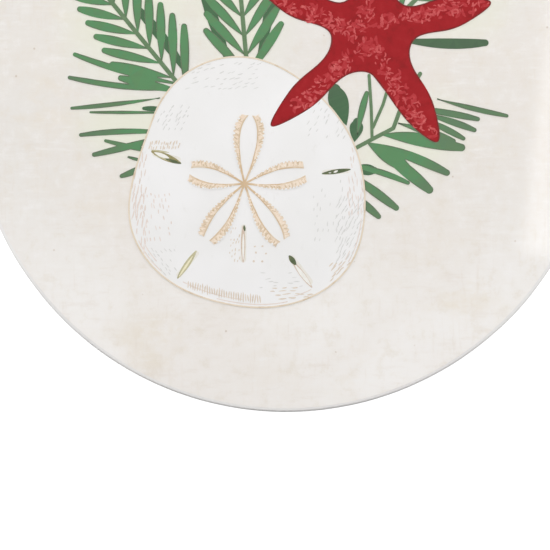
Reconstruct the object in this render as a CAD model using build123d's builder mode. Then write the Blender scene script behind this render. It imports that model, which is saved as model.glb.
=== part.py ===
"""A round glazed ceramic Christmas ornament that hangs from a metal jump ring.

The ceramic disc hangs in the XZ plane with its printed face towards -Y. The origin is the top of
the ring's eye, where a hook or a ribbon carries it. The printed face is made of thin fired enamel
films: a ground, then fir sprigs, a sand dollar and a starfish that fit into each other on it, and
line work on top of the sand dollar. All sizes are in millimetres.
"""

import os
from math import atan2, cos, degrees, hypot, radians, sin

from build123d import *

# Ceramic disc
disc_diameter = 73.0
disc_thickness = 3.2
rim_round = 0.35  # radius of the glaze-softened edge, front and back
hole_diameter = 4.4
hole_round = 0.5  # radius of the hole's softened edges
hole_web = 2.6  # ceramic left between the hole and the rim
foot_diameter = 54.0  # unglazed ring on the back that the disc was fired on
foot_width = 3.0
foot_height = 0.3
foot_round = 0.12

# Hanging ring: a round brass wire closed to a butt joint
ring_wire = 1.2
ring_inner_diameter = 10.0
ring_joint_width = 0.25
ring_joint_angle = 35.0  # the butt joint's place round the ring, from the horizontal
hang_clearance = 0.08  # ring to ceramic, at the nearest point of the swing

# Printed films
film = 0.05  # thickness of one fired enamel film
ground_margin = 0.1  # glaze left bare between the ground and each softened edge
art_radius = 36.05  # radius of the ground that the artwork is drawn for

# Places that follow from the sizes
disc_radius = disc_diameter / 2
hole_radius = hole_diameter / 2
ring_radius = ring_inner_diameter / 2
wire_radius = ring_wire / 2
ring_middle_radius = ring_radius + wire_radius
front_y = -disc_thickness / 2
corner_out = disc_thickness / 2 - hole_round
corner_down = hole_web - hole_round
corner_reach = hypot(corner_out, corner_down) + hole_round
ring_z = -ring_radius
pivot_z = ring_z - (ring_radius - corner_reach - hang_clearance)  # the disc's top edge, where it swings
disc_z = pivot_z - disc_radius
hole_above_centre = disc_radius - hole_web - hole_radius
ground_radius = disc_radius - rim_round - ground_margin
ground_hole_radius = hole_radius + hole_round + ground_margin

# Planes: the artwork is drawn in the face's own u (right) and v (up), from the disc's centre
face_plane = Plane(origin=(0, front_y, disc_z), x_dir=(1, 0, 0), z_dir=(0, -1, 0))
back_plane = face_plane.offset(-disc_thickness)
art_plane = face_plane.offset(film)
line_plane = art_plane.offset(film)

# Sand dollar
dollar_outline = [
    (-15.4, -2.4),
    (-17.6, -9.0),
    (-18.1, -14.6),
    (-14.8, -20.4),
    (-7.6, -23.9),
    (1.2, -23.9),
    (7.2, -19.9),
    (9.2, -12.6),
    (7.7, -5.0),
    (3.4, 0.6),
    (-4.6, 4.6),
    (-12.0, 2.4),
]
dollar_ink = 0.18  # width of its inked edge
petal_centre = (-4.8, -10.1)
petals = [  # direction in degrees, length, half width inside the bands, and its share at the tip
    (85, 7.9, 0.98, 0.2),
    (11, 7.1, 0.8, 0.5),
    (-56.5, 7.9, 0.78, 0.3),
    (-124.5, 7.7, 0.75, 0.5),
    (167, 6.4, 0.8, 0.45),
]
petal_band = 0.72  # width of the pale band on each side of a petal
petal_ink = 0.16  # width of the line inside each band
petal_shape = [  # share of the length, and of the half width and of the band's width there
    (0.28, 0.6, 0.4),
    (0.62, 1.0, 0.85),
    (0.86, 0.8, 1.0),
]
petal_end = 0.9  # share of the band's width at its tip
lunules = [  # centre, direction in degrees, length and width of each slot
    ((-13.8, -7.0), -17, 3.5, 0.8),
    ((5.8, -8.7), 5, 3.3, 0.62),
    ((-11.35, -19.4), 51, 3.8, 0.62),
    ((-4.9, -17.0), 89, 4.4, 0.66),
    ((1.7, -20.1), -53, 4.1, 0.8),
]

# Starfish
star_centre = (9.9, 7.4)
star_arms = [  # direction in degrees, length, half width at mid-length
    (-59, 14.8, 2.05),
    (14, 14.2, 1.9),
    (86, 14.6, 2.0),
    (158, 14.0, 1.8),
    (223, 15.9, 1.65),
]
arm_shape = [(0.3, 1.2), (0.58, 1.0), (0.86, 0.62)]  # share of the length, of the half width

# Fir sprigs. Each blade has a root, a tip, a width and how far it bows to its left.
blade_shape = [(0.3, 0.36), (0.68, 0.5)]  # share of the length, and of the width on each side
blade_end = 0.32  # radius of a blade's round tip, as a share of its width
blades = [
    ((-12.6, -1.9), (-22.7, -1.85), 0.38, 0.0),
    ((-14.5, -0.2), (-24.9, -1.4), 0.55, 0.1),
    ((-12.5, -4.3), (-23.9, -4.5), 0.68, -0.35),
    ((-12.5, -4.2), (-22.4, -6.8), 0.8, 0.1),
    ((-12.5, -6.9), (-21.0, -5.1), 0.58, 0.1),
    ((-15.4, -7.8), (-18.3, -7.0), 0.36, 0.0),
    ((-15.2, -7.4), (-19.2, -9.3), 0.75, 0.15),
    ((-11.5, 0.8), (-25.2, 2.2), 0.7, 0.4),
    ((-11.0, 1.2), (-24.6, 4.9), 0.75, 0.4),
    ((9.3, -5.3), (14.2, -8.4), 1.7, 0.0),
    ((9.2, -5.3), (18.9, -9.0), 1.15, 0.3),
    ((9.8, -5.4), (16.9, -11.1), 1.45, 0.1),
    ((10.8, -4.4), (20.7, -6.0), 1.35, 0.0),
    ((11.0, -4.4), (17.4, -4.9), 0.7, 0.2),
    ((12.9, -3.1), (19.6, -5.3), 0.95, 0.1),
    ((13.8, -1.3), (22.4, -2.7), 0.8, 0.15),
    ((16.0, -2.0), (22.0, -4.0), 0.8, 0.1),
    ((15.4, -2.4), (20.7, -5.0), 0.75, 0.1),
    ((17.4, -0.3), (25.7, -2.3), 0.62, -0.1),
    ((6.6, -7.8), (14.3, -10.1), 0.72, 0.3),
    ((6.6, -8.4), (13.0, -13.1), 1.05, 0.05),
    ((6.9, -10.8), (10.9, -14.1), 0.92, 0.1),
    ((8.2, -4.6), (9.4, 0.6), 0.8, 0.1),
]
shade_blades = [  # the shaded leaves deepest in each sprig
    ((7.9, -5.3), (8.3, -2.5), 1.5, 0.0),
    ((7.0, -3.4), (5.4, 1.4), 2.2, 0.0),
    ((7.4, -8.3), (10.6, -8.6), 1.25, 0.0),
    ((-13.6, -1.5), (-16.6, -1.4), 0.6, 0.0),
    ((-10.8, 1.6), (-17.4, 10.4), 1.2, -0.3),
    ((-6.0, 2.4), (-9.8, 13.0), 1.3, 0.1),
    ((-3.6, 2.4), (-1.2, 15.4), 1.2, -0.3),
    ((12.6, 6.6), (23.4, 6.2), 1.2, -0.3),
]
stems = [  # width, and the points of each woody line
    (0.46, [(6.0, -7.1), (9.9, -5.0), (12.4, -3.7), (13.4, -1.0), (15.5, 2.6)]),
    (0.36, [(9.95, -5.0), (9.85, -1.4), (9.6, 2.4)]),
    (0.36, [(10.05, -3.6), (11.2, -1.0), (12.4, 3.0)]),
]
sprays = [  # root and tip of the stem, pairs of blades, length and width of the lowest blades
    ((-11.6, 0.4), (-24.0, 15.6), 9, 8.0, 1.05),
    ((-4.4, 2.4), (-6.4, 24.6), 10, 7.4, 1.1),
    ((13.2, 9.4), (23.6, 19.6), 6, 6.8, 1.05),
]
spray_stem = 0.5  # width of a spray's own woody line
spray_lean = 38.0  # angle between a spray's blades and its stem, in degrees
spray_taper = 0.5  # length of the topmost blades, as a share of the lowest


def beside(start, end, share, out):
    """The point at a share of the way from start to end, moved out to the left."""
    du, dv = end[0] - start[0], end[1] - start[1]
    length = hypot(du, dv)
    return (start[0] + share * du - out * dv / length, start[1] + share * dv + out * du / length)


def direction(start, end):
    """The angle of a line, in degrees."""
    return degrees(atan2(end[1] - start[1], end[0] - start[0]))


def at_angle(centre, angle, reach):
    """The point at an angle, in degrees, and a distance from a centre."""
    return (centre[0] + reach * cos(radians(angle)), centre[1] + reach * sin(radians(angle)))


def inset(points, depth):
    """The points of a closed outline, drawn counter-clockwise, moved inwards by a depth."""
    moved = []
    for before, point, after in zip(points[-1:] + points, points, points[1:] + points[:1]):
        du, dv = after[0] - before[0], after[1] - before[1]
        reach = depth / hypot(du, dv)
        moved.append((point[0] - reach * dv, point[1] + reach * du))
    return moved


def outline_face(points):
    """The face inside a smooth closed curve through points."""
    with BuildLine() as outline:
        Spline(*points, periodic=True)
    return make_face(outline.edges(), mode=Mode.PRIVATE)


def blade_face(root, tip, width, bow=0.0):
    """A fir blade: pointed at its root, widest near its round tip, and bowed to one side."""
    shoulder = 1 - blade_end * width / hypot(tip[0] - root[0], tip[1] - root[1])
    shape = [*blade_shape, (shoulder, blade_end)]
    left = [beside(root, tip, s, 4 * bow * s * (1 - s) + width * w) for s, w in shape]
    right = [beside(root, tip, s, 4 * bow * s * (1 - s) - width * w) for s, w in shape]
    with BuildLine() as edge:
        Spline(root, *left)
        ThreePointArc(left[-1], tip, right[-1])
        Spline(*reversed(right), root)
    return make_face(edge.edges(), mode=Mode.PRIVATE)


def spray_faces(root, tip, pairs, length, width):
    """Pairs of blades that lean forward from both sides of a stem, and one at its tip."""
    along = direction(root, tip)
    faces = [blade_face(tip, at_angle(tip, along, length * spray_taper), width)]
    for pair in range(pairs):
        share = pair / pairs
        foot = beside(root, tip, share, 0)
        reach = length * (1 - (1 - spray_taper) * share)
        for lean in (-spray_lean, spray_lean):
            faces.append(blade_face(foot, at_angle(foot, along + lean, reach), width))
    return faces


def petal_curve(angle, length, half, open_tip, side, grow):
    """The points of one side of a petal, from its root to its open tip, moved out by grow."""
    tip = at_angle(petal_centre, angle, length)
    shape = [*petal_shape, (1.0, open_tip, petal_end)]
    out = [(share, side * (half * inner + grow * band)) for share, inner, band in shape]
    return [petal_centre, *(beside(petal_centre, tip, *place) for place in out)]


def petal_strips(near, far):
    """The strips beside both edges of every petal, between two distances from the edge."""
    strips = []
    for petal in petals:
        for side in (1, -1):
            with BuildLine() as edge:
                inner = Spline(*petal_curve(*petal, side, near))
                outer = Spline(*petal_curve(*petal, side, far))
                Line(inner @ 1, outer @ 1)
            strips.append(make_face(edge.edges(), mode=Mode.PRIVATE))
    return strips


def draw_stem(width, points):
    """A woody line, as round-ended bars from point to point."""
    for start, end in zip(points, points[1:]):
        with Locations(beside(start, end, 0.5, 0)):
            SlotCenterToCenter(hypot(end[0] - start[0], end[1] - start[1]), width, direction(start, end))


def fit_to_ground():
    """Bring the open sketch from the artwork's size to the disc's, and keep it on the ground."""
    scale(by=ground_radius / art_radius)
    Circle(ground_radius, mode=Mode.INTERSECT)
    with Locations((0, hole_above_centre)):
        Circle(ground_hole_radius, mode=Mode.SUBTRACT)


# Ceramic disc, with its hanging hole near the top edge and a dry foot ring on the back
with BuildPart() as ceramic_disc:
    with BuildSketch(back_plane):
        Circle(disc_radius)
    extrude(amount=disc_thickness)
    fillet(ceramic_disc.edges().filter_by(GeomType.CIRCLE), rim_round)
    with BuildSketch(back_plane):
        with Locations((0, hole_above_centre)):
            Circle(hole_radius)
    extrude(amount=disc_thickness, mode=Mode.SUBTRACT)
    hole_wall = ceramic_disc.faces().filter_by(GeomType.CYLINDER).sort_by(SortBy.AREA)[0]
    fillet(hole_wall.edges().filter_by(GeomType.CIRCLE), hole_round)
    with BuildSketch(back_plane):
        Circle(foot_diameter / 2)
        Circle(foot_diameter / 2 - foot_width, mode=Mode.SUBTRACT)
    extrude(amount=-foot_height)
    fillet(ceramic_disc.faces().sort_by(Axis.Y)[-1].edges(), foot_round)

# Hanging ring, in the YZ plane, through the disc's hole and round its top edge
joint_sweep = degrees(ring_joint_width / ring_middle_radius)
joint_plane = Plane(
    origin=(0, 0, ring_z),
    x_dir=(0, cos(radians(ring_joint_angle)), sin(radians(ring_joint_angle))),
    z_dir=(0, -sin(radians(ring_joint_angle)), cos(radians(ring_joint_angle))),
)
with BuildPart() as hanging_ring:
    with BuildSketch(joint_plane):
        with Locations((ring_middle_radius, 0)):
            Circle(wire_radius)
    revolve(axis=Axis((0, 0, ring_z), (1, 0, 0)), revolution_arc=360 - joint_sweep)

# Ground of the print
with BuildPart() as ground_print:
    with BuildSketch(face_plane):
        Circle(ground_radius)
        with Locations((0, hole_above_centre)):
            Circle(ground_hole_radius, mode=Mode.SUBTRACT)
    extrude(amount=film)

# The pictures, each whole, in the artwork's own size
starfish_outline = []
for angle, length, half in star_arms:
    arm_tip = at_angle(star_centre, angle, length)
    starfish_outline += [beside(star_centre, arm_tip, s, -half * w) for s, w in arm_shape]
    starfish_outline.append(arm_tip)
    starfish_outline += [beside(star_centre, arm_tip, s, half * w) for s, w in reversed(arm_shape)]
with BuildSketch() as starfish_art:
    add(outline_face(starfish_outline))

with BuildSketch() as sand_dollar_art:
    add(outline_face(dollar_outline))

with BuildSketch() as lunule_art:
    for centre, angle, length, width in lunules:
        with Locations(centre):
            SlotOverall(length, width, rotation=angle)

with BuildSketch() as stem_art:
    for width, points in stems:
        draw_stem(width, points)
    for spray in sprays:
        draw_stem(spray_stem, spray[:2])

with BuildSketch() as fir_art:
    add([blade_face(*blade) for blade in blades])
    for spray in sprays:
        add(spray_faces(*spray))

with BuildSketch() as shade_fir_art:
    add([blade_face(*blade) for blade in shade_blades])

# The films of the pictures, each knocked out where another one covers it
with BuildPart() as starfish_print:
    with BuildSketch(art_plane):
        add(starfish_art.sketch)
        fit_to_ground()
    extrude(amount=film)

with BuildPart() as sand_dollar_print:
    with BuildSketch(art_plane):
        add(sand_dollar_art.sketch)
        add(lunule_art.sketch, mode=Mode.SUBTRACT)
        add(starfish_art.sketch, mode=Mode.SUBTRACT)
        fit_to_ground()
    extrude(amount=film)

with BuildPart() as lunule_print:
    with BuildSketch(art_plane):
        add(lunule_art.sketch)
        add(starfish_art.sketch, mode=Mode.SUBTRACT)
        fit_to_ground()
    extrude(amount=film)

with BuildPart() as stem_print:
    with BuildSketch(art_plane):
        add(stem_art.sketch)
        add(starfish_art.sketch, mode=Mode.SUBTRACT)
        add(sand_dollar_art.sketch, mode=Mode.SUBTRACT)
        fit_to_ground()
    extrude(amount=film)

with BuildPart() as fir_print:
    with BuildSketch(art_plane):
        add(fir_art.sketch)
        add(stem_art.sketch, mode=Mode.SUBTRACT)
        add(starfish_art.sketch, mode=Mode.SUBTRACT)
        add(sand_dollar_art.sketch, mode=Mode.SUBTRACT)
        fit_to_ground()
    extrude(amount=film)

with BuildPart() as shade_fir_print:
    with BuildSketch(art_plane):
        add(shade_fir_art.sketch)
        add(fir_art.sketch, mode=Mode.SUBTRACT)
        add(stem_art.sketch, mode=Mode.SUBTRACT)
        add(starfish_art.sketch, mode=Mode.SUBTRACT)
        add(sand_dollar_art.sketch, mode=Mode.SUBTRACT)
        fit_to_ground()
    extrude(amount=film)

# Line work on the sand dollar: the petals' pale bands, and the tan lines inside them
with BuildPart() as petal_print:
    with BuildSketch(line_plane):
        add(petal_strips(petal_ink, petal_ink + petal_band))
        fit_to_ground()
    extrude(amount=film)

with BuildPart() as ink_line_print:
    with BuildSketch(line_plane):
        add(sand_dollar_art.sketch)
        add(outline_face(inset(dollar_outline, dollar_ink)), mode=Mode.SUBTRACT)
        add(starfish_art.sketch, mode=Mode.SUBTRACT)
        add(petal_strips(0, petal_ink))
        fit_to_ground()
    extrude(amount=film)

pieces = {
    "hanging_ring": hanging_ring,
    "ceramic_disc": ceramic_disc,
    "ground_print": ground_print,
    "stem_print": stem_print,
    "fir_print": fir_print,
    "shade_fir_print": shade_fir_print,
    "sand_dollar_print": sand_dollar_print,
    "lunule_print": lunule_print,
    "starfish_print": starfish_print,
    "petal_print": petal_print,
    "ink_line_print": ink_line_print,
}
os.makedirs("parts", exist_ok=True)
for name, piece in pieces.items():
    piece.part.label = name
    export_step(piece.part, f"parts/{name}.step")
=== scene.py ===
"""A glazed ceramic Christmas ornament, hanging by its brass ring in a white light tent.

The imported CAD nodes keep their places. This script gives them their glazes and enamels, replaces
the ceramic disc and the wire ring with finer ones, and adds the small printed marks.
"""

import math
import random

import bmesh
import bpy
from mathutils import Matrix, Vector, geometry, noise
from mathutils.bvhtree import BVHTree


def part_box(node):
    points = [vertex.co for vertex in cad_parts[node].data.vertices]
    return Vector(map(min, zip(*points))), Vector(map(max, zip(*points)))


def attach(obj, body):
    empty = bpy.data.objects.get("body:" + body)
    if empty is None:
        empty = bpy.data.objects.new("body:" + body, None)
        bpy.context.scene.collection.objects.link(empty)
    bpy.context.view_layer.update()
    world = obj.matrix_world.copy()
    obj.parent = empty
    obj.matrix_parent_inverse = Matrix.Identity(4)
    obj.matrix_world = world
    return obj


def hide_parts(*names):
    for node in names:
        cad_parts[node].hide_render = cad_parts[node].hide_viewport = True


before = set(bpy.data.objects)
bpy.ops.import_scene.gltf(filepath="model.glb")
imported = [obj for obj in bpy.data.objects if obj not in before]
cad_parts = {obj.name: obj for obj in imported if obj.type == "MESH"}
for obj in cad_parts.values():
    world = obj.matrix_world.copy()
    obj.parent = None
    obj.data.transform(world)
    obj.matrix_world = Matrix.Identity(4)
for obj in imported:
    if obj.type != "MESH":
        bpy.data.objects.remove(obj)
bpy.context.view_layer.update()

MM = 0.001
random.seed(7)

# Places read from the frame, in metres
disc_low, disc_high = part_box("ceramic_disc")
disc_x = (disc_low.x + disc_high.x) / 2
disc_z = (disc_low.z + disc_high.z) / 2
disc_radius = (disc_high.x - disc_low.x) / 2
face_y = disc_low.y
art_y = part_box("sand_dollar_print")[0].y
line_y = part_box("ink_line_print")[0].y
ring_low, ring_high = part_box("hanging_ring")

# Sizes of the disc that a box doesn't give, in metres
RIM_ROUND = 0.35 * MM
HOLE_ROUND = 0.5 * MM
HOLE_RADIUS = 2.2 * MM
HOLE_WEB = 2.6 * MM
FOOT_OUTER = 27.0 * MM
FOOT_INNER = 24.0 * MM
FOOT_HEIGHT = 0.3 * MM
FOOT_SLOPE = 0.5 * MM

# Places on the disc that follow from both, in metres
disc_centre = (disc_x, disc_z)
hole = (disc_x, disc_high.z - HOLE_WEB - HOLE_RADIUS)
hole_edge = HOLE_RADIUS + HOLE_ROUND
rim_edge = disc_radius - RIM_ROUND
back_y = disc_high.y - FOOT_HEIGHT

# How finely the disc is meshed: points round a circle, and distances between circles
RIM_COUNT = 360
HOLE_COUNT = 72
FOOT_COUNT = 240
EDGE_STEPS = 12
INNER_STEP = 2.0 * MM
FOOT_STEP = 0.15 * MM
OUTER_STEP = 1.2 * MM
HOLE_STEP = 0.35 * MM
HOLE_CLEAR = 0.5 * MM  # the other circles' points keep this far from the hole's edge

# Unevenness of the glaze
WAVE_SIZE = 11 * MM
EDGE_WAVE = 0.035 * MM
BACK_WAVE = 0.09 * MM
CALM_WIDTH = 3 * MM  # the back grows flat over this distance from the rim and from the hole

# The ring's wire and its cut ends
WIRE_RADIUS = 0.6 * MM
WIRE_UNEVEN = 0.008
RING_JOINT_DEGREES = 35.0
RING_JOINT_WIDTH = 0.25 * MM
RING_STEP = 0.16 * MM  # each end stands this far aside, and is back in line after the reach
RING_STEP_REACH = 4 * MM
RING_NIP = 0.22  # the cutter left the ends this share thinner, over the nip's reach
RING_NIP_REACH = 0.12 * MM

# Printed marks: their usual thickness, and how marks that cross are kept at different heights
INK = 0.012 * MM
INK_STEP = 0.00011 * MM
INK_STRIDE = 7
INK_LEVELS = 97


# ---------------------------------------------------------------- materials

def linear(red, green, blue):
    """A display colour, 0 to 255, as the linear colour that a shader takes."""
    share = [c / 255 for c in (red, green, blue)]
    return tuple(c / 12.92 if c <= 0.04045 else ((c + 0.055) / 1.055) ** 2.4 for c in share) + (1.0,)


def node(tree, kind, inputs=None, **settings):
    """A new shader node, with its settings and its inputs as numbers or links."""
    made = tree.nodes.new(kind)
    for key, value in settings.items():
        setattr(made, key, value)
    for key, value in (inputs or {}).items():
        if isinstance(value, bpy.types.NodeSocket):
            tree.links.new(value, made.inputs[key])
        else:
            made.inputs[key].default_value = value
    return made


def maths(tree, operation, a, b):
    """Two numbers joined by a sum, a product or the like."""
    return node(tree, "ShaderNodeMath", {0: a, 1: b}, operation=operation).outputs[0]


def rise(tree, value, low, high, start=0.0, end=1.0):
    """A smooth step of value from start at low to end at high."""
    inputs = {"Value": value, "From Min": low, "From Max": high, "To Min": start, "To Max": end}
    return node(tree, "ShaderNodeMapRange", inputs, interpolation_type="SMOOTHSTEP").outputs["Result"]


def mix(tree, factor, a, b, how="MIX"):
    """Colour a with colour b over it."""
    made = node(tree, "ShaderNodeMix", {0: factor, 6: a, 7: b}, data_type="RGBA", blend_type=how)
    return made.outputs[2]


def stretch(tree, vector, scale, location=(0, 0, 0), turn=0.0):
    """A vector scaled, moved, and turned by degrees in the plane of the face."""
    inputs = {"Vector": vector, "Scale": scale, "Location": location, "Rotation": (0, math.radians(turn), 0)}
    return node(tree, "ShaderNodeMapping", inputs).outputs["Vector"]


def cloud(tree, vector, scale, detail=2.0, roughness=0.5):
    """Soft noise from 0 to 1. Scale is in features per unit of the vector."""
    inputs = {"Vector": vector, "Scale": scale, "Detail": detail, "Roughness": roughness}
    return node(tree, "ShaderNodeTexNoise", inputs).outputs["Fac"]


def patch(tree, vector, centre, reach, turn=0.0):
    """A soft oval patch of the face, 1 inside and 0 outside. Centre and reach are in millimetres."""
    moved = node(tree, "ShaderNodeVectorMath", {0: vector, 1: (centre[0], 0, centre[1])},
                 operation="SUBTRACT").outputs[0]
    turned = stretch(tree, moved, (1, 1, 1), turn=turn)
    shrunk = stretch(tree, turned, (1 / reach[0], 0, 1 / reach[1]))
    length = node(tree, "ShaderNodeVectorMath", {0: shrunk}, operation="LENGTH").outputs["Value"]
    return rise(tree, length, 1.0, 0.25)


def new_material(name):
    """A material, its tree, and millimetre coordinates with the disc's centre at zero."""
    material = bpy.data.materials.new(name)
    material.use_nodes = True
    tree = material.node_tree
    place = node(tree, "ShaderNodeTexCoord").outputs["Object"]
    centred = node(tree, "ShaderNodeVectorMath", {0: place, 1: (disc_x, 0, disc_z)},
                   operation="SUBTRACT").outputs[0]
    inputs = {0: centred, "Scale": 1 / MM}
    mm = node(tree, "ShaderNodeVectorMath", inputs, operation="SCALE").outputs[0]
    return material, tree, mm


def glaze_over(tree, mm, colour, satin=0.42, gloss=0.05, ripple=1.0):
    """A fired colour under clear glaze that rolls slightly and carries a faint orange peel."""
    swell = cloud(tree, mm, 0.045, 1.0)
    peel = cloud(tree, mm, 1.6, 2.0)
    rolled = node(tree, "ShaderNodeBump", {"Height": swell, "Distance": 1.6e-5 * ripple})
    fine = node(tree, "ShaderNodeBump", {"Height": peel, "Distance": 4e-7 * ripple,
                                         "Normal": rolled.outputs[0]})
    shader = tree.nodes["Principled BSDF"]
    shader.inputs["Coat Weight"].default_value = 1.0
    shader.inputs["Coat Roughness"].default_value = gloss
    shader.inputs["Specular IOR Level"].default_value = 0.2
    uneven = rise(tree, cloud(tree, mm, 0.35, 3.0), 0.3, 0.7, satin - 0.06, satin + 0.06)
    tree.links.new(uneven, shader.inputs["Roughness"])
    tree.links.new(colour, shader.inputs["Base Color"])
    tree.links.new(fine.outputs[0], shader.inputs["Normal"])
    tree.links.new(fine.outputs[0], shader.inputs["Coat Normal"])


def enamel(name, low, middle, high, grain):
    """A printed enamel of three tones that run into each other, with a fine screened grain."""
    material, tree, mm = new_material(name)
    broad = cloud(tree, mm, grain, 3.0, 0.6)
    colour = mix(tree, rise(tree, broad, 0.3, 0.5), linear(*low), linear(*middle))
    colour = mix(tree, rise(tree, broad, 0.52, 0.72), colour, linear(*high))
    screen = cloud(tree, mm, 6.0, 2.0, 0.6)
    colour = mix(tree, 0.35, colour, mix(tree, screen, linear(96, 96, 96), linear(160, 160, 160)),
                 "SOFT_LIGHT")
    glaze_over(tree, mm, colour)
    return material


def ground_material():
    """Cream enamel printed to look like washed linen, warm and greenish in patches, with painted light that
    makes it lighter towards the bottom.
    """
    material, tree, mm = new_material("linen_ground")
    height = node(tree, "ShaderNodeSeparateXYZ", {0: mm}).outputs["Z"]
    # Painted light: the ground is lighter towards the bottom of the face, making up for the lamps leaving
    # the lower face darker
    colour = mix(tree, rise(tree, height, -34.0, -3.0), linear(251, 248, 245), linear(236, 232, 227))
    colour = mix(tree, rise(tree, cloud(tree, mm, 0.05, 2.0), 0.35, 0.65, 0.0, 0.5), colour,
                 linear(238, 231, 224))
    warm = rise(tree, cloud(tree, stretch(tree, mm, (0.7, 1, 1.0)), 0.13, 5.0, 0.68), 0.44, 0.7)
    spots = [((-14, -28.5), (9, 4.5)), ((19, -21.5), (8.5, 7)), ((24, -3), (8, 6)), ((-27, -4), (6, 9)),
             ((8, -31), (9, 3)), ((-23, -17), (4, 8)), ((20, 10), (10, 8)), ((-24, 14), (8, 9)),
             ((2, 26), (14, 6))]
    area = patch(tree, mm, *spots[0])
    for spot in spots[1:]:
        area = maths(tree, "MAXIMUM", area, patch(tree, mm, *spot))
    warm = maths(tree, "MULTIPLY", warm, rise(tree, area, 0.0, 0.8, 0.25, 1.0))
    colour = mix(tree, maths(tree, "MULTIPLY", warm, 0.6), colour, linear(236, 226, 210))
    # The brushed threads of the linen, across and down, stronger in places
    across = cloud(tree, stretch(tree, mm, (0.22, 1, 1.3)), 1.3, 4.0, 0.65)
    down = cloud(tree, stretch(tree, mm, (1.3, 1, 0.2)), 1.3, 4.0, 0.65)
    where = rise(tree, cloud(tree, mm, 0.16, 2.0), 0.38, 0.62, 0.25, 1.0)
    elsewhere = rise(tree, cloud(tree, stretch(tree, mm, (1, 1, 1), (40, 0, 9)), 0.14, 2.0),
                     0.38, 0.62, 0.2, 1.0)
    dark_across = maths(tree, "MULTIPLY", rise(tree, across, 0.5, 0.78, 0.0, 0.36), where)
    dark_down = maths(tree, "MULTIPLY", rise(tree, down, 0.5, 0.8, 0.0, 0.4), elsewhere)
    colour = mix(tree, dark_across, colour, linear(228, 217, 206))
    colour = mix(tree, dark_down, colour, linear(229, 219, 208))
    pale = maths(tree, "MULTIPLY", rise(tree, across, 0.5, 0.22, 0.0, 0.45), elsewhere)
    colour = mix(tree, pale, colour, linear(250, 248, 246))
    mottle = cloud(tree, stretch(tree, mm, (0.8, 1, 0.8), (5, 0, 31)), 0.6, 5.0, 0.7)
    colour = mix(tree, rise(tree, mottle, 0.5, 0.72, 0.0, 0.45), colour, linear(231, 222, 209))
    colour = mix(tree, rise(tree, mottle, 0.5, 0.3, 0.0, 0.35), colour, linear(250, 248, 247))
    # A pale green bloom of the flux round the sprigs
    green = patch(tree, mm, (14.0, -5.0), (9.5, 7.0), 25)
    for spot in [((-18.0, -3.5), (8.5, 5.5)), ((-18, 9), (10, 11), -40), ((-5.5, 14), (9, 15)),
                 ((19, 13), (10, 8), -40)]:
        green = maths(tree, "MAXIMUM", green, patch(tree, mm, *spot))
    colour = mix(tree, maths(tree, "MULTIPLY", green, 0.75), colour, linear(235, 236, 217))
    # Sparse fired specks
    dots = node(tree, "ShaderNodeTexVoronoi", {"Vector": mm, "Scale": 0.42, "Randomness": 1.0})
    near = rise(tree, dots.outputs["Distance"], 0.075, 0.03)
    some = rise(tree, cloud(tree, mm, 0.8, 1.0), 0.55, 0.6)
    colour = mix(tree, maths(tree, "MULTIPLY", near, maths(tree, "MULTIPLY", some, 0.55)), colour,
                 linear(196, 178, 160))
    glaze_over(tree, mm, colour)
    return material


def dollar_material():
    """White enamel, a little bare and grey where the brush ran dry."""
    material, tree, mm = new_material("dollar_white")
    broad = cloud(tree, mm, 0.14, 2.0)
    colour = mix(tree, rise(tree, broad, 0.3, 0.7), linear(242, 241, 240), linear(246, 245, 245))
    dry = cloud(tree, stretch(tree, mm, (1, 1, 0.45)), 1.3, 3.0, 0.65)
    colour = mix(tree, rise(tree, dry, 0.6, 0.82, 0.0, 0.5), colour, linear(233, 231, 228))
    glaze_over(tree, mm, colour)
    return material


def fir_material(name, base, tip, shade):
    """Green enamel, greener near the roots and greyer towards the tips of the blades."""
    material, tree, mm = new_material(name)
    roots = [((11, -4.5), 9.5), ((-13.5, -3.5), 9.0), ((-18, 8), 11.0), ((-5.5, 13), 13.0),
             ((18, 14), 10.0)]
    reach = patch(tree, mm, roots[0][0], (roots[0][1], roots[0][1]))
    for centre, radius in roots[1:]:
        reach = maths(tree, "MAXIMUM", reach, patch(tree, mm, centre, (radius, radius)))
    ragged = maths(tree, "ADD", reach, maths(tree, "MULTIPLY", cloud(tree, mm, 0.5, 2.0), 0.5))
    colour = mix(tree, rise(tree, ragged, 0.35, 0.85), linear(*tip), linear(*base))
    island = node(tree, "ShaderNodeNewGeometry").outputs["Random Per Island"]
    colour = mix(tree, rise(tree, island, 0.0, 1.0, 0.0, 0.35), colour, linear(*shade))
    brush = cloud(tree, stretch(tree, mm, (0.5, 1, 1)), 1.1, 3.0, 0.6)
    colour = mix(tree, rise(tree, brush, 0.5, 0.75, 0.0, 0.4), colour, linear(*tip))
    glaze_over(tree, mm, colour)
    return material


def white_glaze_material():
    """The disc's own glaze: white, a trace greyer in soft patches, with a few brown specks."""
    material, tree, mm = new_material("white_glaze")
    broad = cloud(tree, mm, 0.09, 3.0)
    colour = mix(tree, rise(tree, broad, 0.35, 0.65), linear(239, 237, 236), linear(243, 241, 239))
    dots = node(tree, "ShaderNodeTexVoronoi", {"Vector": mm, "Scale": 0.3, "Randomness": 1.0})
    speck = rise(tree, dots.outputs["Distance"], 0.045, 0.02, 0.0, 0.45)
    colour = mix(tree, speck, colour, linear(170, 158, 142))
    glaze_over(tree, mm, colour, satin=0.3, gloss=0.07, ripple=2.5)
    return material


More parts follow.
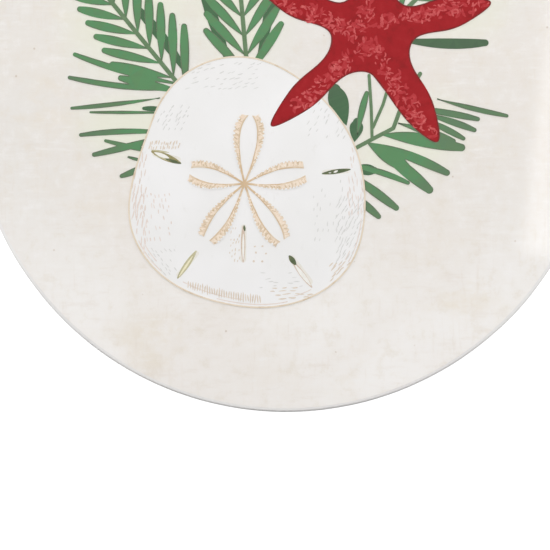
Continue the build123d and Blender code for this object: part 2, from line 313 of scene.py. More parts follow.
def bisque_material():
    """Unglazed clay of the foot ring: matt, warm and gritty."""
    material, tree, mm = new_material("bisque")
    broad = cloud(tree, mm, 0.5, 4.0, 0.65)
    colour = mix(tree, rise(tree, broad, 0.3, 0.7), linear(216, 205, 190), linear(229, 221, 209))
    grit = cloud(tree, mm, 7.0, 3.0, 0.7)
    colour = mix(tree, rise(tree, grit, 0.62, 0.75, 0.0, 0.6), colour, linear(176, 160, 142))
    bump = node(tree, "ShaderNodeBump", {"Height": grit, "Distance": 3e-5})
    shader = tree.nodes["Principled BSDF"]
    shader.inputs["Specular IOR Level"].default_value = 0.25
    tree.links.new(rise(tree, grit, 0.3, 0.7, 0.8, 0.95), shader.inputs["Roughness"])
    tree.links.new(colour, shader.inputs["Base Color"])
    tree.links.new(bump.outputs[0], shader.inputs["Normal"])
    return material


def brass_material():
    """Drawn brass wire: bright, finely scratched along its length, a little brown in places."""
    material, tree, mm = new_material("brass_wire")
    tarnish = cloud(tree, mm, 0.7, 4.0, 0.6)
    colour = mix(tree, rise(tree, tarnish, 0.45, 0.75), linear(222, 184, 108), linear(168, 128, 66))
    scratch = cloud(tree, stretch(tree, mm, (7, 1.2, 1.2)), 3.0, 3.0, 0.7)
    bump = node(tree, "ShaderNodeBump", {"Height": scratch, "Distance": 4e-6})
    shader = tree.nodes["Principled BSDF"]
    shader.inputs["Metallic"].default_value = 1.0
    tree.links.new(rise(tree, maths(tree, "ADD", tarnish, scratch), 0.6, 1.4, 0.16, 0.42),
                   shader.inputs["Roughness"])
    tree.links.new(colour, shader.inputs["Base Color"])
    tree.links.new(bump.outputs[0], shader.inputs["Normal"])
    return material


def line_material():
    """Tan ink: strongest where the petals meet, and paler round the edge of the shell."""
    material, tree, mm = new_material("line_tan")
    petals = patch(tree, mm, (-4.8, -10.1), (13, 13))
    colour = mix(tree, petals, linear(232, 217, 196), linear(216, 188, 152))
    uneven = cloud(tree, mm, 0.9, 3.0, 0.6)
    colour = mix(tree, rise(tree, uneven, 0.45, 0.7, 0.0, 0.6), colour, linear(238, 224, 206))
    colour = mix(tree, rise(tree, uneven, 0.45, 0.3, 0.0, 0.5), colour, linear(206, 180, 146))
    glaze_over(tree, mm, colour)
    return material


materials = {
    "ground_print": ground_material(),
    "sand_dollar_print": dollar_material(),
    "fir_print": fir_material("fir_green", (92, 145, 99), (99, 130, 98), (104, 138, 92)),
    "shade_fir_print": fir_material("fir_shade", (74, 111, 78), (80, 106, 80), (86, 118, 84)),
    "stem_print": enamel("stem_green", (106, 132, 98), (114, 143, 106), (124, 150, 116), 1.2),
    "lunule_print": enamel("slot_cream", (234, 230, 220), (240, 237, 230), (244, 242, 238), 1.5),
    "starfish_print": enamel("star_red", (158, 9, 18), (172, 13, 25), (177, 24, 33), 0.8),
    "petal_print": enamel("petal_tan", (228, 206, 180), (238, 221, 200), (246, 234, 220), 2.2),
    "ink_line_print": line_material(),
}
for cad_node, material in materials.items():
    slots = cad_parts[cad_node].data.materials
    slots.clear()
    slots.append(material)


# ---------------------------------------------------------------- meshes

def new_piece(name, verts, faces, material, body, smooth=False):
    """A mesh piece in the shared frame that rides on a body."""
    mesh = bpy.data.meshes.new(name)
    mesh.from_pydata([tuple(v) for v in verts], [], faces)
    mesh.update()
    work = bmesh.new()
    work.from_mesh(mesh)
    bmesh.ops.recalc_face_normals(work, faces=work.faces)
    work.to_mesh(mesh)
    work.free()
    mesh.polygons.foreach_set("use_smooth", [smooth] * len(mesh.polygons))
    mesh.materials.append(material)
    piece = bpy.data.objects.new(name, mesh)
    bpy.context.scene.collection.objects.link(piece)
    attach(piece, body)
    return piece


def circle(centre, radius, count):
    """Points round a circle of the face, as (x, z) in metres."""
    turns = [2 * math.pi * i / count for i in range(count)]
    return [(centre[0] + radius * math.cos(t), centre[1] + radius * math.sin(t)) for t in turns]


def foot_lift(radius):
    """How far the back stands out at a distance from the centre: the foot ring."""
    inner = min(1.0, max(0.0, (radius - FOOT_INNER) / FOOT_SLOPE))
    outer = min(1.0, max(0.0, (FOOT_OUTER - radius) / FOOT_SLOPE))
    step = min(inner, outer)
    return FOOT_HEIGHT * step * step * (3 - 2 * step)


def hand_wave(x, z, depth):
    """A slow unevenness of hand-fired glaze, up to a depth either way."""
    return depth * noise.noise(Vector((x / WAVE_SIZE, 3.7, z / WAVE_SIZE)))


def edge_profile(radius, turn, out):
    """Points (radius, y) over a rounded edge, from the front face to the back."""
    profile = []
    angles = [math.pi / 2 * i / EDGE_STEPS for i in range(1, EDGE_STEPS + 1)]
    for angle in angles:
        profile.append((radius + out * turn * math.sin(angle), face_y + turn * (1 - math.cos(angle))))
    for angle in reversed(angles):
        profile.append((radius + out * turn * math.sin(angle), back_y - turn * (1 - math.cos(angle))))
    return profile


def disc_points():
    """Points of the flat face: the rim, the hole's edge, then circles that are closest at the foot."""
    rings = [(INNER_STEP * i, 24 + 12 * i) for i in range(1, 12)]
    rings += [(FOOT_INNER + FOOT_STEP * i, FOOT_COUNT) for i in range(-4, 25)]
    rings += [(FOOT_OUTER + OUTER_STEP * i, FOOT_COUNT) for i in range(1, 8)]
    points = circle(disc_centre, rim_edge, RIM_COUNT) + circle(hole, hole_edge, HOLE_COUNT)
    points.append(disc_centre)
    for radius, count in rings:
        ring = circle(disc_centre, radius, count)
        points += [p for p in ring if math.dist(p, hole) > hole_edge + HOLE_CLEAR]
    return points + circle(hole, hole_edge + HOLE_STEP, HOLE_COUNT)


def disc_triangles(points):
    """The flat points in millimetres, their triangles outside the hole, and where each point went."""
    cut = geometry.delaunay_2d_cdt([Vector(p) / MM for p in points], [], [], 0, 1e-6)
    flat, found, origins = cut[0], cut[2], cut[3]
    index = {source: i for i, sources in enumerate(origins) for source in sources}
    hole_mm = Vector(hole) / MM
    open_radius = hole_edge / MM * math.cos(math.pi / HOLE_COUNT)
    triangles = []
    for face in found:
        middle = sum((flat[i] for i in face), Vector((0, 0))) / 3
        if (middle - hole_mm).length > open_radius:
            triangles.append(tuple(face))
    return flat, triangles, index


def back_point(x, z):
    """The point of the uneven back behind a point of the face."""
    radius = math.dist((x, z), disc_centre)
    inset = min(rim_edge - radius, math.dist((x, z), hole) - hole_edge)
    calm = max(0.0, min(1.0, inset / CALM_WIDTH))
    lift = foot_lift(radius)
    wave = hand_wave(x, z, BACK_WAVE) * calm * (1 - lift / FOOT_HEIGHT)
    return x, back_y + lift - abs(wave), z


def add_edge(verts, faces, front, back, centre, radius, turn, out):
    """A rounded edge round a centre, between a loop of the front and a loop of the back."""
    count = len(front)
    loops = [front]
    for reach, y in edge_profile(radius, turn, out):
        start = len(verts)
        for x, z in circle(centre, reach, count):
            sag = hand_wave(x * 1.7, z * 1.7 + y, EDGE_WAVE) * (reach - radius) / turn * out
            away = Vector((x - centre[0], z - centre[1])).normalized() * min(0.0, sag) * out
            verts.append((x + away.x, y, z + away.y))
        loops.append(list(range(start, start + count)))
    loops.append(back)
    for before, after in zip(loops, loops[1:]):
        for i in range(count):
            j = (i + 1) % count
            faces.append((before[i], before[j], after[j], after[i]))


def make_disc():
    """The disc as one closed mesh: flat face, rolled rim and hole, uneven back with a foot ring."""
    flat, triangles, index = disc_triangles(disc_points())
    verts = [(p.x * MM, face_y, p.y * MM) for p in flat]
    verts += [back_point(x, z) for x, _, z in verts]
    size = len(flat)
    faces = [tuple(start + i for i in t) for start in (0, size) for t in triangles]
    rim = [index[i] for i in range(RIM_COUNT)]
    well = [index[RIM_COUNT + i] for i in range(HOLE_COUNT)]
    add_edge(verts, faces, rim, [size + i for i in rim], disc_centre, rim_edge, RIM_ROUND, 1)
    add_edge(verts, faces, well, [size + i for i in well], hole, hole_edge, HOLE_ROUND, -1)
    disc = new_piece("ceramic_body", verts, faces, white_glaze_material(), "ornament",
                     smooth=True)
    disc.data.materials.append(bisque_material())
    for polygon in disc.data.polygons:
        c = polygon.center
        dry = FOOT_INNER + FOOT_STEP < math.dist((c.x, c.z), disc_centre) < FOOT_OUTER - FOOT_STEP
        polygon.material_index = int(dry and c.y > back_y)
    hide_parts("ceramic_disc")


def make_ring():
    """The brass ring: round wire bent to a circle, its cut ends a little out of line."""
    centre_z = (ring_low.z + ring_high.z) / 2
    bend = (ring_high.z - ring_low.z) / 2 - WIRE_RADIUS
    start = math.radians(RING_JOINT_DEGREES)
    sweep = 2 * math.pi - RING_JOINT_WIDTH / bend
    count, sides = 220, 24
    verts, faces = [], []
    for i in range(count + 1):
        share = i / count
        angle = start + sweep * share
        along = min(share, 1 - share) * sweep * bend
        aside = RING_STEP * max(0.0, 1 - along / RING_STEP_REACH) ** 2 * (1 if share < 0.5 else -1)
        nip = 1 - RING_NIP * max(0.0, 1 - along / RING_NIP_REACH)
        uneven = 1 + WIRE_UNEVEN * noise.noise(Vector((angle * 3, 1.3, 0.4)))
        reach = WIRE_RADIUS * nip * uneven
        middle = Vector((aside, bend * math.cos(angle), centre_z + bend * math.sin(angle)))
        outward = Vector((0, math.cos(angle), math.sin(angle)))
        for s in range(sides):
            turn = 2 * math.pi * s / sides
            verts.append(middle + reach * (math.cos(turn) * outward + math.sin(turn) * Vector((1, 0, 0))))
    for i in range(count):
        for s in range(sides):
            a, b = i * sides + s, i * sides + (s + 1) % sides
            faces.append((a, b, b + sides, a + sides))
    faces.append(tuple(range(sides)))
    faces.append(tuple(reversed(range(count * sides, (count + 1) * sides))))
    ring = new_piece("wire_ring", verts, faces, brass_material(), "hanger", smooth=True)
    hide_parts("hanging_ring")


make_disc()
make_ring()


# ---------------------------------------------------------------- printed marks

HATCH_JITTER = 0.25
trees = {}


def on_film(cad_node, u, v):
    """Whether the film of a CAD node covers a point of the face, in millimetres."""
    if cad_node not in trees:
        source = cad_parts[cad_node].data
        trees[cad_node] = BVHTree.FromPolygons([v.co for v in source.vertices],
                                               [tuple(p.vertices) for p in source.polygons])
    start = Vector((disc_x + u * MM, face_y - 1.0 * MM, disc_z + v * MM))
    hit = trees[cad_node].ray_cast(start, Vector((0, 1, 0)), 2 * MM)[0]
    return hit is not None


def make_marks(name, marks, material, base_y, top_y):
    """Thin printed marks, each a list of (u, v, half width) along its line, as one piece."""
    verts, faces = [], []
    for number, mark in enumerate(marks):
        start = len(verts)
        last = len(mark) - 1
        top = top_y - INK_STEP * (number * INK_STRIDE % INK_LEVELS)
        for i, (u, v, half) in enumerate(mark):
            before, after = mark[max(0, i - 1)], mark[min(last, i + 1)]
            du, dv = after[0] - before[0], after[1] - before[1]
            length = math.hypot(du, dv)
            side = Vector((-dv, du)) * (half / length)
            for y in (base_y, top):
                for sign in (1, -1):
                    verts.append((disc_x + (u + sign * side.x) * MM, y, disc_z + (v + sign * side.y) * MM))
        for i in range(last):
            a, b = start + 4 * i, start + 4 * (i + 1)
            for first, second in ((0, 1), (1, 3), (3, 2), (2, 0)):
                faces.append((a + first, a + second, b + second, b + first))
        faces.append((start, start + 2, start + 3, start + 1))
        end = start + 4 * last
        faces.append((end, end + 1, end + 3, end + 2))
    new_piece(name, verts, faces, material, "ornament")


def dash(u, v, angle, length, width, bend=0.0):
    """A short brush mark, widest in its middle, centred on a point."""
    turn = math.radians(angle)
    mark = []
    for share, fat in ((0.0, 0.35), (0.3, 0.95), (0.7, 1.0), (1.0, 0.3)):
        along = (share - 0.5) * length
        out = bend * (1 - (2 * share - 1) ** 2)
        mark.append((u + along * math.cos(turn) - out * math.sin(turn),
                     v + along * math.sin(turn) + out * math.cos(turn), fat * width / 2))
    return mark


def bare_dollar(point):
    """Whether a point of a mark lies on the sand dollar, clear of its petals."""
    return on_film("sand_dollar_print", *point[:2]) and not on_film("petal_print", *point[:2])


def hatch(corner, far, angle, length, width, step, keep):
    """Dashes in loose rows over a box of the face, a share of those with both ends on bare shell."""
    found = []
    columns = max(1, round((far[0] - corner[0]) / step[0]))
    rows = max(1, round((far[1] - corner[1]) / step[1]))
    for row in range(rows + 1):
        for column in range(columns + 1):
            u = corner[0] + column * step[0] + random.uniform(-HATCH_JITTER, HATCH_JITTER) * step[0]
            v = corner[1] + row * step[1] + random.uniform(-HATCH_JITTER, HATCH_JITTER) * step[1]
            u += 0.5 * step[0] * (row % 2)
            long = length * random.uniform(0.6, 1.25)
            lean = angle + random.uniform(-9, 9)
            wide = width * random.uniform(0.7, 1.2)
            drop = random.random()
            mark = dash(u, v, lean, long, wide, random.uniform(-0.06, 0.06) * long)
            if drop < keep and bare_dollar(mark[0]) and bare_dollar(mark[-1]):
                found.append(mark)
    return found


tan_marks, grey_marks, pink_marks = [], [], []
for i in range(31):
    share = i / 30
    u, v = -11.3 + 8.3 * share, -21.75 - 1.75 * math.sin(share * math.pi * 0.42)
    tan_marks.append(dash(u, v, 90 + random.uniform(-10, 10), random.uniform(0.7, 1.25), 0.15))
tan_marks += hatch((-1.6, -23.3), (1.0, -22.1), 2, 0.9, 0.14, (1.1, 0.4), 0.9)
tan_marks += hatch((1.0, -23.2), (2.4, -22.9), 3, 1.0, 0.16, (1.1, 0.3), 0.95)
tan_marks += hatch((5.2, -21.2), (7.2, -19.6), 48, 0.9, 0.14, (0.5, 0.45), 0.8)
tan_marks += hatch((-15.8, -5.9), (-12.4, -5.3), 75, 0.5, 0.13, (0.26, 0.5), 0.9)
tan_marks += hatch((-6.4, -19.0), (-5.5, -15.2), 80, 0.35, 0.11, (0.4, 0.42), 0.7)
tan_marks += hatch((-3.7, -18.9), (-2.6, -17.7), 15, 0.3, 0.22, (0.8, 0.7), 0.9)
grey_marks += hatch((5.9, -19.2), (8.8, -11.8), 62, 0.75, 0.11, (0.46, 0.66), 0.85)
grey_marks += hatch((3.2, -16.4), (6.0, -9.8), 80, 0.5, 0.11, (0.75, 0.8), 0.6)
grey_marks += hatch((-14.6, -3.7), (-11.6, -1.2), 55, 0.5, 0.12, (0.6, 0.5), 0.6)
grey_marks += hatch((-15.8, -20.6), (-12.8, -17.6), 125, 0.5, 0.11, (0.55, 0.55), 0.7)
grey_marks += hatch((2.6, -4.6), (6.6, 1.2), 60, 0.6, 0.11, (0.7, 0.75), 0.5)
grey_marks += hatch((-11.2, 1.0), (-3.4, 4.0), 20, 0.6, 0.11, (0.7, 0.55), 0.6)
grey_marks += hatch((-3.0, -22.0), (1.4, -20.6), 5, 0.6, 0.1, (0.8, 0.5), 0.5)
pink_marks += hatch((-17.7, -17.6), (-16.3, -7.6), 84, 1.1, 0.16, (0.42, 0.95), 0.85)
pink_marks += hatch((-16.6, -16.4), (-13.8, -11.2), 100, 0.5, 0.12, (0.5, 0.62), 0.7)
pink_marks += hatch((7.2, -13.4), (8.6, -6.4), 95, 0.9, 0.12, (0.5, 0.9), 0.7)

mark_tan = enamel("mark_tan", (222, 208, 192), (230, 218, 204), (238, 229, 218), 1.2)
mark_grey = enamel("mark_grey", (219, 219, 216), (228, 227, 225), (235, 235, 233), 1.2)
mark_pink = enamel("mark_pink", (228, 214, 205), (236, 225, 218), (242, 234, 229), 1.2)
make_marks("dollar_tan_marks", tan_marks, mark_tan, art_y, art_y - INK)
make_marks("dollar_grey_marks", grey_marks, mark_grey, art_y, art_y - 0.8 * INK)
make_marks("dollar_pink_marks", pink_marks, mark_pink, art_y, art_y - 0.9 * INK)


# ---------------------------------------------------------------- petals: bristles across each band

PETAL_CENTRE = (-4.8, -10.1)
# Each petal's direction in degrees, length, width factor, and half width at its tip before that factor
PETALS = [(85, 7.9, 0.98, 0.2), (11, 7.1, 0.8, 0.5), (-56.5, 7.9, 0.78, 0.3), (-124.5, 7.7, 0.75, 0.5),
          (167, 6.4, 0.8, 0.45)]
# Shares of the length, with the petal's half width and its band's width there
PETAL_SHAPE = [(0.0, 0.0, 0.0), (0.28, 0.6, 0.4), (0.62, 1.0, 0.85), (0.86, 0.8, 1.0)]
PETAL_END = 0.9
PETAL_INK, PETAL_BAND = 0.16, 0.72


def petal_edge(petal, share, column):
    """A petal's shape at a share of its length: its half width (1) or its band's width (2)."""
    shape = [*PETAL_SHAPE, (1.0, petal[3], PETAL_END)]
    for low, high in zip(shape, shape[1:]):
        if share <= high[0]:
            part = (share - low[0]) / (high[0] - low[0])
            return low[column] + part * (high[column] - low[column])
    return shape[-1][column]


def petal_point(petal, share, side, out):
    """A point beside a petal's middle line, on its left (1) or right (-1)."""
    turn = math.radians(petal[0])
    reach = share * petal[1]
    return (PETAL_CENTRE[0] + reach * math.cos(turn) - side * out * math.sin(turn),
            PETAL_CENTRE[1] + reach * math.sin(turn) + side * out * math.cos(turn))


dark_ticks, pale_ticks = [], []
for petal in PETALS:
    for side in (1, -1):
        share = 0.16
        while share < 0.99:
            inner = petal[2] * petal_edge(petal, share, 1)
            band = petal_edge(petal, share, 2)
            near = inner + PETAL_INK * band
            far = inner + (PETAL_INK + PETAL_BAND) * band
            lean = random.uniform(0.01, 0.05)
            dark = random.random() < 0.5
            start, end = near + 0.05, far - 0.05
            if dark:
                start += random.uniform(0.0, 0.3) * band
                end = far + random.uniform(-0.2, 0.06) * band
            width = random.uniform(0.045, 0.075)
            a = petal_point(petal, share, side, start)
            b = petal_point(petal, share + lean / 2, side, (start + end) / 2)
            c = petal_point(petal, share + lean, side, end)
            mark = [(*a, width * 0.8), (*b, width), (*c, width * 0.4)]
            (dark_ticks if dark else pale_ticks).append(mark)
            share += random.uniform(0.016, 0.03)
# Bare notches that scallop the outer edge of every band, and pale drops within it
notches, drops = [], []
for petal in PETALS:
    for side in (1, -1):
        share = 0.2
        while share < 0.98:
            inner = petal[2] * petal_edge(petal, share, 1)
            band = petal_edge(petal, share, 2)
            outer = inner + (PETAL_INK + PETAL_BAND) * band
            depth = random.uniform(0.02, 0.13) * band
            width = random.uniform(0.07, 0.14)
            a = petal_point(petal, share, side, outer + 0.12)
            b = petal_point(petal, share, side, outer - 0.5 * depth)
            c = petal_point(petal, share + 0.01, side, outer - depth)
            notches.append([(*a, width * 1.5), (*b, width), (*c, width * 0.5)])
            at = share + random.uniform(0.01, 0.03)
            middle = inner + (PETAL_INK + random.uniform(0.25, 0.6) * PETAL_BAND) * band
            here = petal_point(petal, at, side, middle)
            lean = petal[0] + 90 + random.uniform(-50, 50)
            long = random.uniform(0.18, 0.38) * (0.4 + band)
            drops.append(dash(*here, lean, long, random.uniform(0.14, 0.26)))
            share += random.uniform(0.04, 0.08)
make_marks("petal_notches", notches, materials["sand_dollar_print"], line_y,
           line_y - 1.1 * INK)
tick_dark = enamel("tick_tan", (212, 192, 158), (223, 203, 175), (232, 216, 194), 1.4)
tick_pale = enamel("tick_cream", (244, 226, 206), (248, 234, 218), (251, 241, 229), 1.4)
make_marks("petal_dark_bristles", dark_ticks, tick_dark, art_y, line_y - INK)
make_marks("petal_drops", drops, tick_pale, line_y, line_y - 1.2 * INK)
make_marks("petal_pale_bristles", pale_ticks, tick_pale, line_y, line_y - 0.8 * INK)


# The hub, where the petals' lines run together
hub = []
for petal in PETALS:
    for side in (1, -1):
        line = []
        for share, half in ((0.0, 0.1), (0.08, 0.11), (0.18, 0.1), (0.32, 0.08), (0.5, 0.04)):
            out = petal[2] * petal_edge(petal, share, 1) + 0.5 * PETAL_INK * min(1.0, share * 4)
            line.append((*petal_point(petal, share, side, out), half))
        hub.append(line)
make_marks("petal_hub", hub, materials["ink_line_print"], art_y, line_y - 1.5 * INK)


# ---------------------------------------------------------------- edges of the films

OUTLINE_STEP = 0.16


def outlines(cad_node):
    """The closed outlines of a film's face, with the film on the left, as evenly spaced points."""
    mesh = bmesh.new()
    mesh.from_mesh(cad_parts[cad_node].data)
    bmesh.ops.remove_doubles(mesh, verts=mesh.verts, dist=1e-6)
    after = {}
    for face in mesh.faces:
        if face.normal.y < -0.9:
            for loop in face.loops:
                after[(loop.vert.index, loop.link_loop_next.vert.index)] = True
    place = [((v.co.x - disc_x) / MM, (v.co.z - disc_z) / MM) for v in mesh.verts]
    mesh.free()
    follow = {a: b for a, b in after if (b, a) not in after}
    found = []
    while follow:
        first, here = follow.popitem()
        loop = [place[first]]
        while here != first and here in follow:
            loop.append(place[here])
            here = follow.pop(here)
        found.append(even(loop, OUTLINE_STEP))
    return found


def even(loop, step):
    """The points of a closed line, set at equal steps along it."""
    points = []
    left = 0.0
    for a, b in zip(loop, loop[1:] + loop[:1]):
        run = math.dist(a, b)
        while left < run:
            share = left / run
            points.append((a[0] + share * (b[0] - a[0]), a[1] + share * (b[1] - a[1])))
            left += step
        left -= run
    return points


def edge_marks(loop, depth, width, keep, scale, shift):
    """Brush lines a little inside a closed outline, swelling and breaking off with a slow noise."""
    marks, current = [], []
    count = len(loop)
    for i in range(count + 1):
        before, point, after = loop[(i - 1) % count], loop[i % count], loop[(i + 1) % count]
        du, dv = after[0] - before[0], after[1] - before[1]
        length = math.hypot(du, dv) or 1.0
        u, v = point[0] - dv / length * depth, point[1] + du / length * depth
        swell = noise.noise(Vector((point[0] * scale + shift, point[1] * scale, shift)))
        if swell > 1 - 2 * keep:
            current.append((u, v, width / 2 * (0.8 + 0.5 * swell)))
        else:
            marks.append(current)
            current = []
    marks.append(current)
    return [m for m in marks if len(m) > 3]


star_edges = [m for loop in outlines("starfish_print") for m in edge_marks(loop, 0.08, 0.18, 0.85, 0.4, 6.0)]
make_marks("star_edge", star_edges, enamel("star_dark", (116, 32, 32), (138, 38, 38), (156, 44, 46), 1.2),
           art_y, art_y - 0.8 * INK)

fir_edges = []
for loop in outlines("fir_print"):
    if len(loop) > 12:
        fir_edges += edge_marks(loop, 0.05, 0.12, 0.62, 0.5, 4.0)
make_marks("fir_edge", fir_edges, enamel("fir_grey", (104, 120, 96), (112, 132, 104), (122, 142, 114), 1.2),
           art_y, art_y - 0.6 * INK)

dollar_loop = max(outlines("sand_dollar_print"), key=len)
dollar_lines = edge_marks(dollar_loop, 0.42, 0.13, 0.5, 0.16, 2.0)
dollar_lines += edge_marks(dollar_loop, 0.85, 0.11, 0.42, 0.2, 9.0)
dollar_lines = [m for m in dollar_lines if max(p[1] for p in m) < -4.5]
make_marks("dollar_inner_lines", dollar_lines, mark_pink, art_y, art_y - 0.7 * INK)


# ---------------------------------------------------------------- slots of the sand dollar

def lens(start, end, half):
    """A straight mark that is pointed at both ends, between two points."""
    du, dv = end[0] - start[0], end[1] - start[1]
    mark = []
    for i in range(9):
        share = i / 8
        fat = math.sin(math.pi * (0.04 + 0.92 * share)) ** 0.75
        mark.append((start[0] + share * du, start[1] + share * dv, half * fat))
    return mark


slot_dark = enamel("slot_dark", (92, 108, 74), (106, 118, 86), (128, 130, 96), 1.8)
slot_olive = enamel("slot_olive", (150, 146, 98), (166, 158, 112), (184, 172, 130), 1.8)
slot_gold = enamel("slot_gold", (190, 184, 150), (206, 200, 166), (216, 208, 182), 1.8)
slot_straw = enamel("slot_straw", (236, 228, 188), (242, 236, 206), (246, 242, 224), 1.8)
slot_pink = enamel("slot_pink", (212, 190, 172), (222, 204, 188), (230, 216, 204), 1.8)
slot_glint = enamel("slot_glint", (242, 240, 234), (247, 245, 240), (250, 249, 246), 1.8)
olive = [lens((-15.55, -6.35), (-12.15, -7.75), 0.42)]
gold = [lens((-15.6, -6.2), (-13.5, -6.5), 0.1), lens((-15.3, -6.75), (-12.6, -7.8), 0.07),
        lens((-12.55, -21.05), (-10.35, -17.85), 0.32)]
straw = [lens((-12.35, -20.8), (-10.75, -18.45), 0.12)]
dark = [lens((4.15, -8.95), (7.45, -8.45), 0.26), lens((-13.9, -7.25), (-12.1, -7.8), 0.18),
        lens((0.35, -18.4), (1.15, -19.5), 0.3), lens((-4.85, -14.9), (-4.75, -15.6), 0.13)]
pink = [lens((-4.95, -15.0), (-4.95, -19.2), 0.26), lens((0.7, -19.0), (3.0, -22.1), 0.3)]
glint = [lens((-15.2, -6.5), (-13.5, -7.15), 0.22),
         lens((-4.93, -15.9), (-4.95, -18.9), 0.13), lens((1.05, -19.5), (2.85, -21.85), 0.23),
         lens((5.5, -8.8), (6.0, -8.6), 0.11), lens((4.9, -8.85), (5.25, -8.85), 0.05)]
for name, marks, material, lift in (
    ("slot_olive", olive, slot_olive, 0.6), ("slot_gold", gold, slot_gold, 0.7),
    ("slot_pink", pink, slot_pink, 0.6), ("slot_glint", glint, slot_glint, 1.1),
    ("slot_dark", dark, slot_dark, 0.9), ("slot_straw", straw, slot_straw, 1.2),
):
    make_marks(name, marks, material, art_y, art_y - lift * INK)


# ---------------------------------------------------------------- starfish: pale skin pattern

STAR_CENTRE = (9.9, 7.4)
# Each arm's direction in degrees, length, half width, and which of its sides is shaded
STAR_ARMS = [(-59, 14.8, 2.05, -1), (14, 14.2, 1.9, 1), (86, 14.6, 2.0, 1), (158, 14.0, 1.8, 1),
             (223, 15.9, 1.65, 1)]


def star_flecks(count, low, high, spread, long, wide):
    """Irregular flecks over the shaded side of every arm, from a low to a high share of its length."""
    found = []
    for angle, reach, half, side in STAR_ARMS:
        turn = math.radians(angle)
        for _ in range(count):
            share = random.uniform(low, high)
            out = side * half * random.uniform(-0.15 - 0.4 * share ** 4, 1.0) * spread
            u = STAR_CENTRE[0] + share * reach * math.cos(turn) - out * math.sin(turn)
            v = STAR_CENTRE[1] + share * reach * math.sin(turn) + out * math.cos(turn)
            length = random.uniform(*long)
            mark = dash(u, v, random.uniform(0, 180), length, random.uniform(*wide),
                        random.uniform(-0.3, 0.3) * length)
            drop = angle == 223 and share > 0.8
            if not drop and all(on_film("starfish_print", p[0], p[1]) for p in mark):
                found.append(mark)
    return found


rose = enamel("star_rose", (200, 74, 78), (210, 90, 92), (219, 110, 108), 2.0)
coral = enamel("star_coral", (184, 40, 48), (193, 54, 60), (203, 70, 74), 2.0)
make_marks("star_coral_flecks", star_flecks(62, 0.05, 0.97, 0.9, (0.5, 1.3), (0.2, 0.45)), coral,
           art_y, art_y - 0.5 * INK)
make_marks("star_rose_flecks", star_flecks(90, 0.08, 0.98, 0.85, (0.25, 0.85), (0.1, 0.28)), rose,
           art_y, art_y - 0.9 * INK)


# ---------------------------------------------------------------- stage, light and camera

FLOOR_Z = disc_z - 0.096
# The floor is plain paper within the first of these distances, and lit white beyond the second
STAGE_CLEAR = 0.22
STAGE_WHITE = 0.31
LIGHT_DISTANCE = 0.6
CARD_BEHIND = 0.02
CARD_DROP = 0.085
VIEW_WIDTH = 63.55 * MM
VIEW_LEFT = 1.27 * MM  # how far the middle of the picture lies to the left of the disc's centre
VIEW_BELOW = 20.65 * MM


def make_floor():
    """A pale floor that is lit up to white away from the ornament."""
    mesh = bpy.data.meshes.new("floor")
    rings = [0.1, 0.2, 0.3, 0.4, 0.6, 1.0, 2.0, 4.0, 8.0]
    count = 96
    verts = [(0, 0, FLOOR_Z)]
    faces = []
    for ring in rings:
        verts += [(x, y, FLOOR_Z) for x, y in circle((0, 0), ring, count)]
    for i in range(count):
        faces.append((0, 1 + i, 1 + (i + 1) % count))
    for ring in range(len(rings) - 1):
        a = 1 + ring * count
        for i in range(count):
            j = (i + 1) % count
            faces.append((a + i, a + count + i, a + count + j, a + j))
    mesh.from_pydata(verts, [], faces)
    floor = bpy.data.objects.new("floor", mesh)
    bpy.context.scene.collection.objects.link(floor)
    material = bpy.data.materials.new("floor_paper")
    material.use_nodes = True
    tree = material.node_tree
    place = node(tree, "ShaderNodeTexCoord").outputs["Object"]
    flat = node(tree, "ShaderNodeVectorMath", {0: place, 1: (1, 1, 0)}, operation="MULTIPLY").outputs[0]
    distance = node(tree, "ShaderNodeVectorMath", {0: flat}, operation="LENGTH").outputs["Value"]
    away = rise(tree, distance, STAGE_CLEAR, STAGE_WHITE)
    tooth = cloud(tree, place, 900.0, 2.0)
    colour = mix(tree, away, linear(208, 207, 205), linear(60, 60, 60))
    colour = mix(tree, 0.03, colour, mix(tree, tooth, (0, 0, 0, 1), (1, 1, 1, 1)))
    shader = tree.nodes["Principled BSDF"]
    shader.inputs["Roughness"].default_value = 0.9
    shader.inputs["Specular IOR Level"].default_value = 0.1
    tree.links.new(colour, shader.inputs["Base Color"])
    shader.inputs["Emission Color"].default_value = (1, 1, 1, 1)
    tree.links.new(away, shader.inputs["Emission Strength"])
    mesh.materials.append(material)


def make_light(name, place, roll, size, power):
    """A rectangular studio light that faces the way the camera does, and that the camera
    sees only as a reflection."""
    data = bpy.data.lights.new(name, "AREA")
    data.shape = "RECTANGLE"
    data.size, data.size_y = size
    data.energy = power
    light = bpy.data.objects.new(name, data)
    bpy.context.scene.collection.objects.link(light)
    light.location = place
    light.rotation_euler = (math.pi / 2, math.radians(roll), 0)
    light.visible_camera = False


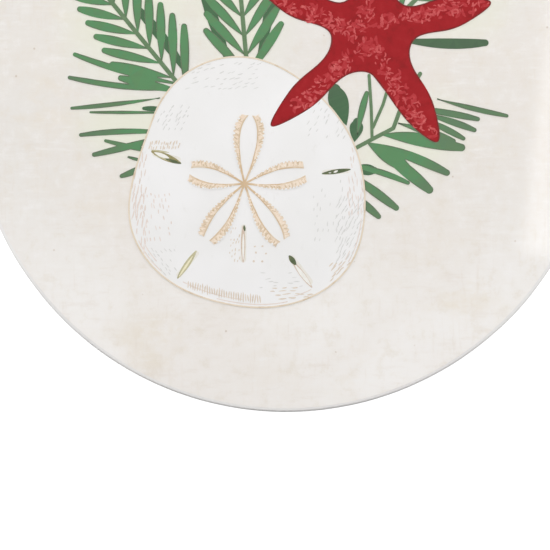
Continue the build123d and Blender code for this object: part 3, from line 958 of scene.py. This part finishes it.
def make_card(name, verts, shade, shades_rim=False):
    """A matt card out of the picture, clear from behind, whose front shows in the glaze. Only
    one that shades the rim also takes light away, and none throws a shadow."""
    mesh = bpy.data.meshes.new(name)
    mesh.from_pydata(verts, [], [(0, 1, 2, 3)])
    card = bpy.data.objects.new(name, mesh)
    bpy.context.scene.collection.objects.link(card)
    material = bpy.data.materials.new(name)
    material.use_nodes = True
    tree = material.node_tree
    shader = tree.nodes["Principled BSDF"]
    shader.inputs["Base Color"].default_value = linear(*shade)
    shader.inputs["Roughness"].default_value = 0.95
    behind = node(tree, "ShaderNodeNewGeometry").outputs["Backfacing"]
    clear = node(tree, "ShaderNodeBsdfTransparent")
    sided = node(tree, "ShaderNodeMixShader", {0: behind, 1: shader.outputs[0], 2: clear.outputs[0]})
    tree.links.new(sided.outputs[0], tree.nodes["Material Output"].inputs["Surface"])
    mesh.materials.append(material)
    card.visible_camera = False
    card.visible_diffuse = shades_rim
    card.visible_shadow = False


def make_world():
    """White light from all round, as in a light tent, weaker from straight above."""
    world = bpy.data.worlds.new("light_tent")
    bpy.context.scene.world = world
    world.use_nodes = True
    tree = world.node_tree
    toward = node(tree, "ShaderNodeTexCoord").outputs["Generated"]
    up = node(tree, "ShaderNodeSeparateXYZ", {0: toward}).outputs["Z"]
    background = tree.nodes["Background"]
    background.inputs["Color"].default_value = (1, 1, 1, 1)
    tree.links.new(rise(tree, up, 0.1, 1.0, 1.42, 0.76), background.inputs["Strength"])


make_floor()
make_world()
light_y = face_y - LIGHT_DISTANCE
card_y = light_y - CARD_BEHIND
card_z = disc_z - CARD_DROP
make_card("card_behind_camera", [(0.16, card_y, disc_z - 0.12), (-0.2, card_y, disc_z - 0.12),
                                 (-0.2, card_y, disc_z + 0.26), (0.16, card_y, disc_z + 0.26)], (70, 70, 70))
# A dark card under the ornament, which draws the fine dark line along its bottom edge
make_card("card_below", [(-0.075, -0.055, card_z), (0.075, -0.055, card_z), (0.075, 0.1, card_z),
                         (-0.075, 0.1, card_z)], (12, 12, 12), shades_rim=True)
# The tall softbox at the right, whose edge shows as a faint pale strip on the glaze
make_light("softbox_right", (0.1395, light_y, disc_z + 0.185), 5.7, (0.04, 0.4), 0.17)

camera_data = bpy.data.cameras.new("camera")
camera_data.lens = 135
camera_data.sensor_width = 36
camera_data.clip_start = 0.01
camera_data.clip_end = 30
camera = bpy.data.objects.new("camera", camera_data)
bpy.context.scene.collection.objects.link(camera)
camera_y = face_y - VIEW_WIDTH * camera_data.lens / camera_data.sensor_width
camera.location = (disc_x - VIEW_LEFT, camera_y, disc_z - VIEW_BELOW)
camera.rotation_euler = (math.pi / 2, 0, 0)
bpy.context.scene.camera = camera
bpy.context.scene.view_settings.view_transform = "Standard"
bpy.context.scene.view_settings.look = "None"
